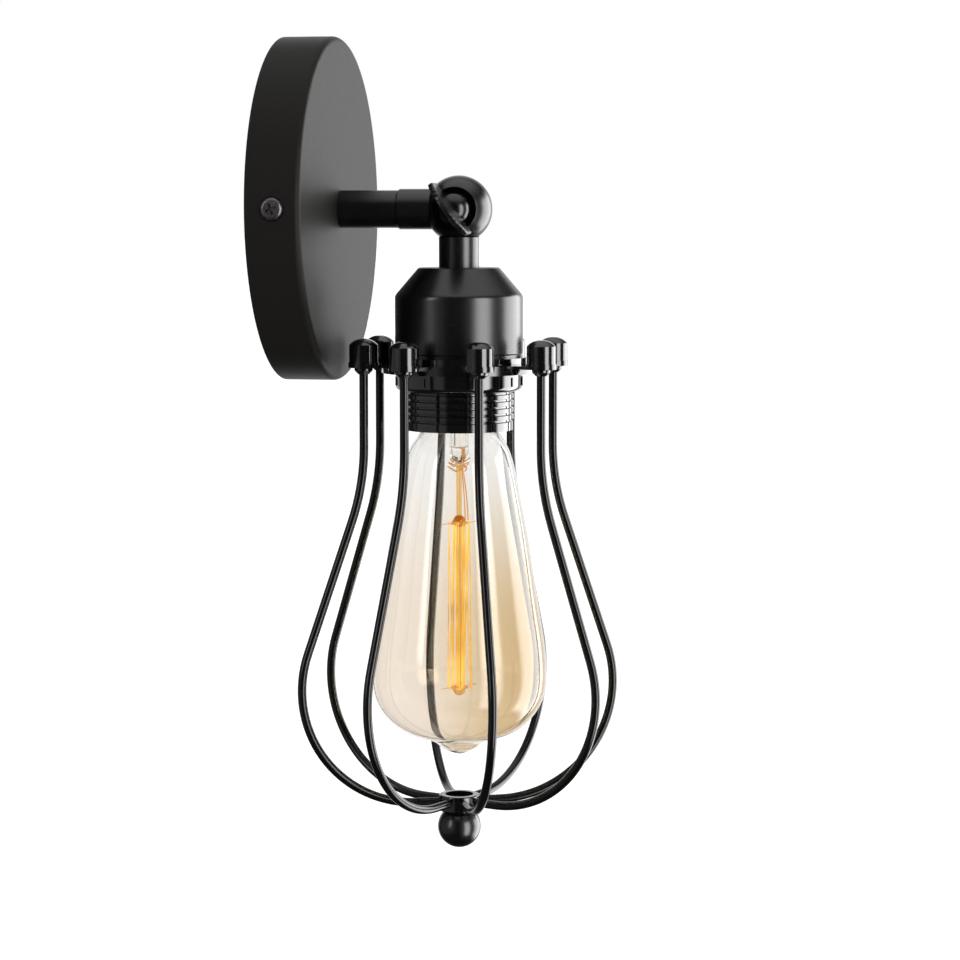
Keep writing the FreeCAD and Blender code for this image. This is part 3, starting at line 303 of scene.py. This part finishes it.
# %% Finish helper
def finish(name, colour, roughness, metallic=0.0, grain=900.0, bump=0.05, bump_size=0.0001, uneven=0.03,
           specular=0.5, coat=0.0):
    """A material with uneven gloss and a fine grained bump."""
    material = bpy.data.materials.new(name)
    material.use_nodes = True
    links = material.node_tree.links
    make = material.node_tree.nodes.new
    shader = material.node_tree.nodes["Principled BSDF"]
    shader.inputs["Base Color"].default_value = (*colour, 1)
    shader.inputs["Metallic"].default_value = metallic
    shader.inputs["Specular IOR Level"].default_value = specular
    shader.inputs["Coat Weight"].default_value = coat
    shader.inputs["Coat Roughness"].default_value = 0.06
    place = make("ShaderNodeTexCoord")
    cloud = make("ShaderNodeTexNoise")
    cloud.inputs["Scale"].default_value = grain / 12
    cloud.inputs["Detail"].default_value = 3
    gloss = make("ShaderNodeMapRange")
    gloss.inputs["From Min"].default_value = 0.3
    gloss.inputs["From Max"].default_value = 0.7
    gloss.inputs["To Min"].default_value = max(roughness - uneven, 0.02)
    gloss.inputs["To Max"].default_value = roughness + uneven
    links.new(place.outputs["Object"], cloud.inputs["Vector"])
    links.new(cloud.outputs["Fac"], gloss.inputs["Value"])
    links.new(gloss.outputs["Result"], shader.inputs["Roughness"])
    fine = make("ShaderNodeTexNoise")
    fine.inputs["Scale"].default_value = grain
    fine.inputs["Detail"].default_value = 2
    relief = make("ShaderNodeBump")
    relief.inputs["Strength"].default_value = bump
    relief.inputs["Distance"].default_value = bump_size
    links.new(place.outputs["Object"], fine.inputs["Vector"])
    links.new(fine.outputs["Fac"], relief.inputs["Height"])
    links.new(relief.outputs["Normal"], shader.inputs["Normal"])
    return material


# %% [markdown]
# Nearly all of the light is black, and the blacks differ in gloss alone: the plate is dull, the
# knuckle and the cap are satin, the cage is enamelled, and the moulded skirt and its ring nut
# have a hard gloss. So the base colours stay close together and the roughness and the specular
# level tell them apart.

# %% The finishes
finishes = {
    "plate_paint": finish("plate_paint", (0.0135, 0.0126, 0.0118), 0.44, grain=2500, bump=0.02,
                          uneven=0.01, specular=0.11),
    "satin_black": finish("satin_black", (0.0028, 0.0028, 0.0031), 0.27, grain=1800, bump=0.004,
                          uneven=0.004, specular=0.8),
    "gloss_black": finish("gloss_black", (0.0025, 0.0025, 0.0025), 0.13, grain=700, bump=0.01,
                          uneven=0.02, specular=0.9, coat=0.3),
    "dull_screw": finish("dull_screw", (0.150, 0.140, 0.150), 0.30, metallic=0.9, grain=900, bump=0.03,
                         uneven=0.10),
    "wire_black": finish("wire_black", (0.0042, 0.0036, 0.0034), 0.16, grain=700, bump=0.01,
                         uneven=0.02, specular=0.45),
    "black_screw": finish("black_screw", (0.0030, 0.0034, 0.0032), 0.24, grain=900, bump=0.02,
                          uneven=0.02, specular=0.7),
    "zinc_steel": finish("zinc_steel", (0.62, 0.62, 0.60), 0.34, metallic=1.0, grain=1500),
    "nickel_screw": finish("nickel_screw", (0.36, 0.34, 0.33), 0.30, metallic=1.0, grain=1500),
    "brass": finish("brass", (0.78, 0.56, 0.26), 0.24, metallic=1.0, grain=1200),
    "solder": finish("solder", (0.60, 0.60, 0.58), 0.40, metallic=1.0, grain=1500, bump=0.2),
    "bakelite": finish("bakelite", (0.0040, 0.0038, 0.0042), 0.09, grain=600, bump=0.01,
                       uneven=0.02, specular=1.0, coat=0.6),
    "white_ceramic": finish("white_ceramic", (0.80, 0.79, 0.75), 0.20, grain=500),
    "terminal_plastic": finish("terminal_plastic", (0.80, 0.80, 0.77), 0.45, grain=900),
    "fibre": finish("fibre", (0.03, 0.015, 0.010), 0.60, grain=1800, bump=0.3),
    "lead_live": finish("lead_live", (0.18, 0.06, 0.025), 0.45),
    "lead_neutral": finish("lead_neutral", (0.03, 0.10, 0.35), 0.45),
    "base_insulator": finish("base_insulator", (0.008, 0.008, 0.012), 0.12),
    "support_wire": finish("support_wire", (0.85, 0.46, 0.14), 0.35, metallic=0.6),
}
print(len(finishes), "plain finishes")

# %% [markdown]
# Amber bulb glass is clear glass with a faint gold film. Each time light passes a surface it
# loses a little blue. The colour is paler towards the neck, and one side of the bulb is a darker
# tan, which is painted shade. The film also mirrors more than bare glass.


# %% Clear glass
def glass_finish(name, colour, specular=0.5):
    """Clear glass; the colour is what a ray keeps as it passes each surface."""
    material = bpy.data.materials.new(name)
    material.use_nodes = True
    shader = material.node_tree.nodes["Principled BSDF"]
    shader.inputs["Base Color"].default_value = (*colour, 1)
    shader.inputs["Roughness"].default_value = 0.0
    shader.inputs["IOR"].default_value = 1.5
    shader.inputs["Specular IOR Level"].default_value = specular
    shader.inputs["Transmission Weight"].default_value = 1.0
    return material


# %% [markdown]
# A blend node mixes two colours by a factor, and the factor comes from the place on the piece.
# A little noise is added to that place, so the edge between the colours wanders.


# %% Colour that runs over a piece
def blend_of(material, factor, first, second):
    """A colour between two others; each is a plain colour or another blend's output."""
    node = material.node_tree.nodes.new("ShaderNodeMix")
    node.data_type = "RGBA"
    pair = [socket for socket in node.inputs if socket.type == "RGBA"]
    for socket, colour in zip(pair, (first, second)):
        if isinstance(colour, tuple):
            socket.default_value = (*colour, 1)
        else:
            material.node_tree.links.new(colour, socket)
    material.node_tree.links.new(factor, node.inputs["Factor"])
    return [socket for socket in node.outputs if socket.type == "RGBA"][0]


tint_edge_ragged = 0.25
tint_edge_cloud = 30


def across_piece(material, axis, low, high):
    """0 to 1 between two places along an axis of the piece, with a little noise in the place."""
    make = material.node_tree.nodes.new
    links = material.node_tree.links
    place = make("ShaderNodeTexCoord")
    split = make("ShaderNodeSeparateXYZ")
    cloud = make("ShaderNodeTexNoise")
    cloud.inputs["Scale"].default_value = tint_edge_cloud
    ragged = make("ShaderNodeMath")
    ragged.operation = "MULTIPLY_ADD"
    ragged.inputs[1].default_value = (high - low) * tint_edge_ragged
    fade = make("ShaderNodeMapRange")
    fade.interpolation_type = "SMOOTHSTEP"
    fade.inputs["From Min"].default_value = low
    fade.inputs["From Max"].default_value = high
    links.new(place.outputs["Object"], split.inputs[0])
    links.new(place.outputs["Object"], cloud.inputs["Vector"])
    links.new(cloud.outputs["Fac"], ragged.inputs[0])
    links.new(split.outputs[axis], ragged.inputs[2])
    links.new(ragged.outputs["Value"], fade.inputs["Value"])
    return fade.outputs["Result"]


# %% [markdown]
# Three tints make the amber: the plain amber, a darker tan towards one side that is painted
# shade, and a paler tint towards the neck.

# %% Amber glass
amber_tint = (0.900, 0.842, 0.775)
# painted shade: the darker tan blended in towards one side of the bulb
amber_painted_shade_tint = (0.780, 0.660, 0.480)
paler_neck_tint = (0.920, 0.915, 0.900)
amber = glass_finish("amber_glass", amber_tint, specular=1.0)
bulb_low, bulb_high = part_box("bulb_glass")
unshaded_side_y, painted_shade_side_y = ball.y + 0.012, ball.y - 0.026
fade_start_z = bulb_low.z + (bulb_high.z - bulb_low.z) * 0.38
fade_end_z = bulb_high.z - 0.010
# painted shade: this mask darkens one side of the bulb towards tan
painted_shade_side = across_piece(amber, "Y", unshaded_side_y, painted_shade_side_y)
up_bulb = across_piece(amber, "Z", fade_start_z, fade_end_z)
amber_colour = blend_of(amber, up_bulb, blend_of(amber, painted_shade_side, amber_tint, amber_painted_shade_tint), paler_neck_tint)
amber.node_tree.links.new(amber_colour, amber.node_tree.nodes["Principled BSDF"].inputs["Base Color"])
finishes["amber_glass"] = amber
finishes["clear_glass"] = glass_finish("clear_glass", (0.98, 0.97, 0.94))
# painted light: the support rod's glass is tinted orange as if lit by the filament
finishes["painted_glow_glass"] = glass_finish("painted_glow_glass", (0.97, 0.66, 0.26))
print("amber glass", len(amber.node_tree.nodes), "nodes")

# %% [markdown]
# The filament glows dimly, as on a dimmer, so it stays yellow and orange and never turns white.
# Noise along the wire makes some stretches brighter. The hooks and other support wires beside it
# get a faint painted glow, which stands in for the filament's light falling on them.

# %% Glowing wire
glow = finish("filament", (0.30, 0.12, 0.03), 0.4)
glow_shader = glow.node_tree.nodes["Principled BSDF"]
glow_shader.inputs["Emission Color"].default_value = (1.0, 0.64, 0.11, 1)
glow_links = glow.node_tree.links
glow_make = glow.node_tree.nodes.new
flicker = glow_make("ShaderNodeTexNoise")
flicker.inputs["Scale"].default_value = 60
heat = glow_make("ShaderNodeMapRange")
heat.inputs["From Min"].default_value = 0.35
heat.inputs["From Max"].default_value = 0.65
heat.inputs["To Min"].default_value = 0.7
heat.inputs["To Max"].default_value = 1.4
glow_place = glow_make("ShaderNodeTexCoord")
glow_links.new(glow_place.outputs["Object"], flicker.inputs["Vector"])
glow_links.new(flicker.outputs["Fac"], heat.inputs["Value"])
glow_links.new(heat.outputs["Result"], glow_shader.inputs["Emission Strength"])
finishes["filament"] = glow
# painted glow: the support wires glow faintly orange in place of the filament's light on them
painted_glow_shader = finishes["support_wire"].node_tree.nodes["Principled BSDF"]
painted_glow_shader.inputs["Emission Color"].default_value = (1.0, 0.42, 0.08, 1)
painted_glow_shader.inputs["Emission Strength"].default_value = 0.22
print(len(finishes), "finishes")

# %% [markdown]
# The floor's paper glows a little for the eye and through glass, so it stays as white as the
# surround, and still takes the shadow. The Math helper works on the tree that is current.

# %% Paper for the floor
paper = bpy.data.materials.new("paper_floor")
paper.use_nodes = True
tree = paper.node_tree
paper_shader = tree.nodes["Principled BSDF"]
paper_shader.inputs["Roughness"].default_value = 0.8
paper_shader.inputs["Specular IOR Level"].default_value = 0.1
paper_shader.inputs["Emission Color"].default_value = (1, 1, 1, 1)
paper_glow, paper_tone, fibre_tone = 0.55, 0.86, 0.04
paper_ray = tree.nodes.new("ShaderNodeLightPath")
paper_place = tree.nodes.new("ShaderNodeTexCoord")
seen = maths("MAXIMUM", paper_ray.outputs["Is Camera Ray"], paper_ray.outputs["Is Transmission Ray"])
tree.links.new(maths("MULTIPLY", seen, paper_glow), paper_shader.inputs["Emission Strength"])
fibres = tree.nodes.new("ShaderNodeTexNoise")
fibres.inputs["Scale"].default_value = 40
tree.links.new(paper_place.outputs["Object"], fibres.inputs["Vector"])
tone = maths("ADD", paper_tone, maths("MULTIPLY", fibres.outputs["Fac"], fibre_tone))
tree.links.new(tone, paper_shader.inputs["Base Color"])
floor.data.materials.append(paper)
print("paper", len(tree.nodes), "nodes")

# %% [markdown]
# The frame names a slot for each piece, and the slot picks the finish. Three kinds of piece look
# unlike the rest of their slot: the drawn cage wires, the dull side screws and the glass rod,
# whose orange tint is painted light from the filament on both sides.

# %% A finish for every piece of the frame
own_finish = {"side_screws": "dull_screw", "support_rod": "painted_glow_glass"}
for part in frame["record"]["subparts"]:
    node = nodes[part["node"]]
    usual = "wire_black" if part["node"].startswith("cage_wire") else part["material_slot"]
    node.data.materials.clear()
    node.data.materials.append(finishes[own_finish.get(part["node"], usual)])

# %% [markdown]
# ## Bulb glass
# A blown bulb is a smooth turned shell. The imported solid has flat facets, and glass bends every
# one of them into a streak. So its outline is measured with rays and turned again, finely.


# %% Measure a round piece
measuring_rays = 16
ray_start = 0.1


def outline_of(node, levels):
    """(radius, height) down the outside of a round piece, from rays cast at its axis."""
    low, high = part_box(node)
    found = []
    for step in range(levels):
        share = (step + 0.5) / levels
        z = high.z + (low.z - high.z) * share
        middle = Vector((0, ball.y, z))
        widest = 0.0
        for spoke in range(measuring_rays):
            spoke_turn = 2 * math.pi * (spoke + 0.3) / measuring_rays
            outward = Vector((math.cos(spoke_turn), math.sin(spoke_turn), 0))
            hit, place = nodes[node].ray_cast(middle + outward * ray_start, -outward)[:2]
            if hit:
                widest = max(widest, (place - middle).length)
        found.append((widest, z))
    return [(found[0][0], high.z)] + found + [(0.0, low.z)]


# %% [markdown]
# The measured outline still carries the facets as a faint ripple, so each point is eased towards
# its neighbours. The inner face is the same outline moved inwards by the wall.


# %% Ease an outline and set it in
def smoothed(outline, rounds):
    """The same outline with each inner point eased towards its neighbours."""
    for easing in range(rounds):
        eased = [outline[0]]
        for before, point, after in zip(outline, outline[1:], outline[2:]):
            eased.append(((before[0] + 2 * point[0] + after[0]) / 4,
                          (before[1] + 2 * point[1] + after[1]) / 4))
        outline = eased + [outline[-1]]
    return outline


def set_in(outline, wall):
    """The outline moved inwards by a wall, up to where it would cross the axis."""
    moved = []
    for number, point in enumerate(outline[:-1]):
        before = outline[max(number - 1, 0)]
        after = outline[number + 1]
        run = Vector((after[0] - before[0], after[1] - before[1])).normalized()
        inner = (point[0] + run.y * wall, point[1] - run.x * wall)
        if inner[0] > wall / 2:
            moved.append(inner)
    moved.append((0.0, outline[-1][1] + wall * 1.5))
    return moved


# %% [markdown]
# Outside and inside together are one closed outline. Turned about the axis it gives a shell with
# a real wall, and light bends at both faces as it does in blown glass.


# %% Turn an outline
def turned(name, outline, spokes, material):
    """A smooth turned mesh about the lamp's axis; the outline closes on itself."""
    turned_bm = bmesh.new()
    rings = []
    for radius, z in outline:
        if radius < 1e-6:
            rings.append([turned_bm.verts.new((0, ball.y, z))])
            continue
        rings.append([turned_bm.verts.new((radius * math.cos(2 * math.pi * spoke / spokes),
                                           ball.y + radius * math.sin(2 * math.pi * spoke / spokes), z))
                      for spoke in range(spokes)])
    for ring, following in zip(rings, rings[1:] + rings[:1]):
        for spoke in range(spokes):
            corners = [ring[spoke % len(ring)], ring[(spoke + 1) % len(ring)],
                       following[(spoke + 1) % len(following)], following[spoke % len(following)]]
            corners = list(dict.fromkeys(corners))
            if len(corners) > 2:
                turned_bm.faces.new(corners)
    bmesh.ops.recalc_face_normals(turned_bm, faces=turned_bm.faces)
    for face in turned_bm.faces:
        face.smooth = True
    mesh = bpy.data.meshes.new(name)
    turned_bm.to_mesh(mesh)
    turned_bm.free()
    piece = bpy.data.objects.new(name, mesh)
    scene.collection.objects.link(piece)
    mesh.materials.append(material)
    return piece


# %% Turn the bulb
glass_wall = 0.0006
bulb_levels, bulb_easings, bulb_spokes = 150, 2, 128
bulb_outline = smoothed(outline_of("bulb_glass", bulb_levels), bulb_easings)
bulb_inside = set_in(bulb_outline, glass_wall)
bulb = turned("bulb_shell", bulb_outline + bulb_inside[::-1], bulb_spokes, finishes["amber_glass"])
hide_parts("bulb_glass")
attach(bulb, "bulb")
bulb_widest = max(radius for radius, z in bulb_outline) * 2
print("bulb", len(bulb.data.vertices), "points, widest", round(bulb_widest * 1000, 1), "mm")

# %% [markdown]
# ## Inside the bulb
# The stem is a glass tube that flares out to the neck and is pinched shut at its foot, round the
# two lead-in wires. Its outline is measured and turned like the bulb's, but only the upper part
# is hollow.

# %% Stem
stem_wall = 0.0009
pinch_length = 0.006
stem_levels, stem_easings, stem_spokes = 80, 5, 64
stem_outline = smoothed(outline_of("glass_stem", stem_levels), stem_easings)
stem_foot = stem_outline[-1][1]
hollow = [spot for spot in set_in(stem_outline, stem_wall) if spot[1] > stem_foot + pinch_length]
hollow.append((0.0, stem_foot + pinch_length - stem_wall))
stem = turned("stem", stem_outline + hollow[::-1], stem_spokes, finishes["clear_glass"])
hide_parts("glass_stem")
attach(stem, "bulb")
print("stem", round((stem_outline[0][1] - stem_foot) * 1000, 1), "mm long")

# %% [markdown]
# The filament is one long wire, strung up and down between two stars of thin hooks like the
# bars of a cage. The hooks reach out by different amounts, so some strands pass close to the
# middle and others stand clear of it. A curve with a round bevel makes such wire, which is
# lighter than a mesh and stays round.


# %% Round wires as one curve object
def wires(name, runs, wire_dia, slot_name, *stands_for):
    """Each run is a list of points that one wire follows."""
    curve = bpy.data.curves.new(name, "CURVE")
    curve.dimensions = "3D"
    curve.bevel_depth = wire_dia / 2
    curve.bevel_resolution = 2
    curve.use_fill_caps = True
    for run in runs:
        spline = curve.splines.new("POLY")
        spline.points.add(len(run) - 1)
        for point, place in zip(spline.points, run):
            point.co = (*place, 1)
    curve.materials.append(finishes[slot_name])
    piece = bpy.data.objects.new(name, curve)
    scene.collection.objects.link(piece)
    if stands_for:
        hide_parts(*stands_for)
    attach(piece, "bulb")
    print(name, len(runs), "wires")
    return piece


def on_star(radius, turn_deg, z):
    """A point at a radius and turn about the lamp's axis."""
    angle = math.radians(turn_deg)
    return Vector((radius * math.cos(angle), ball.y + radius * math.sin(angle), z))


# %% [markdown]
# The wire goes down to a hook of the lower star, round it and up to the next hook of the upper
# one. Its two ends stop at the upper star, where the current comes in.

# %% Where the filament bends
strand_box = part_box("filament")
star_inset = 0.0004
star_tips = 10
step_deg = 360 / star_tips
upper_z, lower_z = strand_box[1].z - star_inset, strand_box[0].z + star_inset
upper_rs = [0.0044, 0.0020, 0.0038, 0.0016, 0.0032]
lower_rs = [0.0016, 0.0036, 0.0022, 0.0044]
bends = []
for tip in range(star_tips):
    bends.append((lower_rs[tip % len(lower_rs)], (tip + 0.5) * step_deg, lower_z, 1))
    if tip < star_tips - 1:
        bends.append((upper_rs[tip % len(upper_rs)], (tip + 1) * step_deg, upper_z, -1))
print(len(bends), "bends, each with its radius, its turn, its height and the side the wire is on")

# %% Filament
strand_dia = 0.00042
bend_r = 0.00035
end_r = 0.0056
end_turns = (-0.35 * step_deg, -0.70 * step_deg)


def round_hook(radius, turn_deg, tip_z, side):
    """Three points that take the wire round a hook."""
    swing = math.degrees(bend_r / radius)
    return [on_star(radius, turn_deg - swing, tip_z + side * bend_r), on_star(radius, turn_deg, tip_z),
            on_star(radius, turn_deg + swing, tip_z + side * bend_r)]


strand = [on_star(end_r, end_turns[0], upper_z)]
for bend in bends:
    strand += round_hook(*bend)
strand.append(on_star(end_r, end_turns[1], upper_z))
wires("filament_strand", [strand], strand_dia, "filament", "filament")

# %% [markdown]
# Each hook is a hair of wire that starts in the rod's bead, runs out and turns back over the
# filament. Two long wires cross the beads and steady the whole star.

# %% Hooks of both stars
hook_dia = 0.00024
bead_r = 0.0006
hook_root, hook_middle, hook_end = 0.0012, 0.0008, 0.001
hook_middle_share = 0.7
steady_r = 0.0095
steady_turns = (150, -30)


def hook(radius, turn_deg, tip_z, side):
    """One hook, from the bead out to the bend of the filament and back over it."""
    return [on_star(bead_r, turn_deg, tip_z + side * hook_root),
            on_star(radius * hook_middle_share, turn_deg, tip_z + side * hook_middle),
            on_star(radius + hook_dia, turn_deg, tip_z + side * bend_r),
            on_star(radius, turn_deg, tip_z + side * hook_end)]


hooks = [hook(*bend) for bend in bends]
for steady_z in (upper_z - 0.0006, lower_z + 0.0008):
    hooks.append([on_star(steady_r, steady_turns[0], steady_z + 0.0003),
                  on_star(bead_r, steady_turns[0], steady_z),
                  on_star(bead_r, steady_turns[1], steady_z),
                  on_star(steady_r, steady_turns[1], steady_z - 0.0002)])
wires("star_hooks", hooks, hook_dia, "support_wire", "filament_hooks")

# %% [markdown]
# The two lead-in wires come out of the pinch and bow outwards to the filament's ends. Points
# between three corners, eased twice, give the bow.

# %% Wires that lead in
lead_dia = 0.00045
pinch_r, leave_r, bow_r = 0.0016, 0.0018, 0.0046
leave_drop, bow_drop = 0.001, 0.008
lead_runs = []
for end_turn in end_turns:
    top = on_star(pinch_r, end_turn, stem_foot + pinch_length)
    leave = on_star(leave_r, end_turn, stem_foot - leave_drop)
    bow = on_star(bow_r, end_turn, stem_foot - bow_drop)
    strand_end = on_star(end_r, end_turn, upper_z)
    curve_points = [leave.lerp(bow, share).lerp(bow.lerp(strand_end, share), share)
                    for share in (0.2, 0.4, 0.6, 0.8)]
    lead_runs.append([top, leave] + curve_points + [strand_end])
wires("lead_in_pair", lead_runs, lead_dia, "support_wire", "lead_in_wires")

# %% [markdown]
# Round the pinch sits a small tangle of anchor wire, a gold knot that also carries the wires'
# faint painted glow. A smaller ring of the same wire sits on each bead of the rod. Sines bend the
# rings, so no two laps lie alike.

# %% Knot of anchor wire
knot_dia = 0.0004
knot_laps, lap_points, bead_points = 3, 25, 21
lap_r, lap_wave = 0.0031, 0.0010
lap_top, lap_pitch, lap_ripple = 0.0012, 0.0016, 0.0009
ring_r, ring_wave, ring_ripple = 0.0026, 0.0004, 0.0006
knot_runs = []
for lap in range(knot_laps):
    run = []
    for step in range(lap_points):
        lap_turn = step * 15 + lap * 120
        ripple = math.sin(math.radians(lap_turn * 3 + lap * 70))
        lap_z = stem_foot + lap_top - lap * lap_pitch + lap_ripple * ripple
        run.append(on_star(lap_r + lap_wave * ripple, lap_turn, lap_z))
    knot_runs.append(run)
for bead_z in (upper_z - 0.0004, lower_z + 0.0006):
    run = []
    for step in range(bead_points):
        point_r = ring_r + ring_wave * math.sin(math.radians(step * 120))
        run.append(on_star(point_r, step * 18, bead_z + ring_ripple * math.cos(math.radians(step * 75))))
    knot_runs.append(run)
wires("anchor_knot", knot_runs, knot_dia, "support_wire")
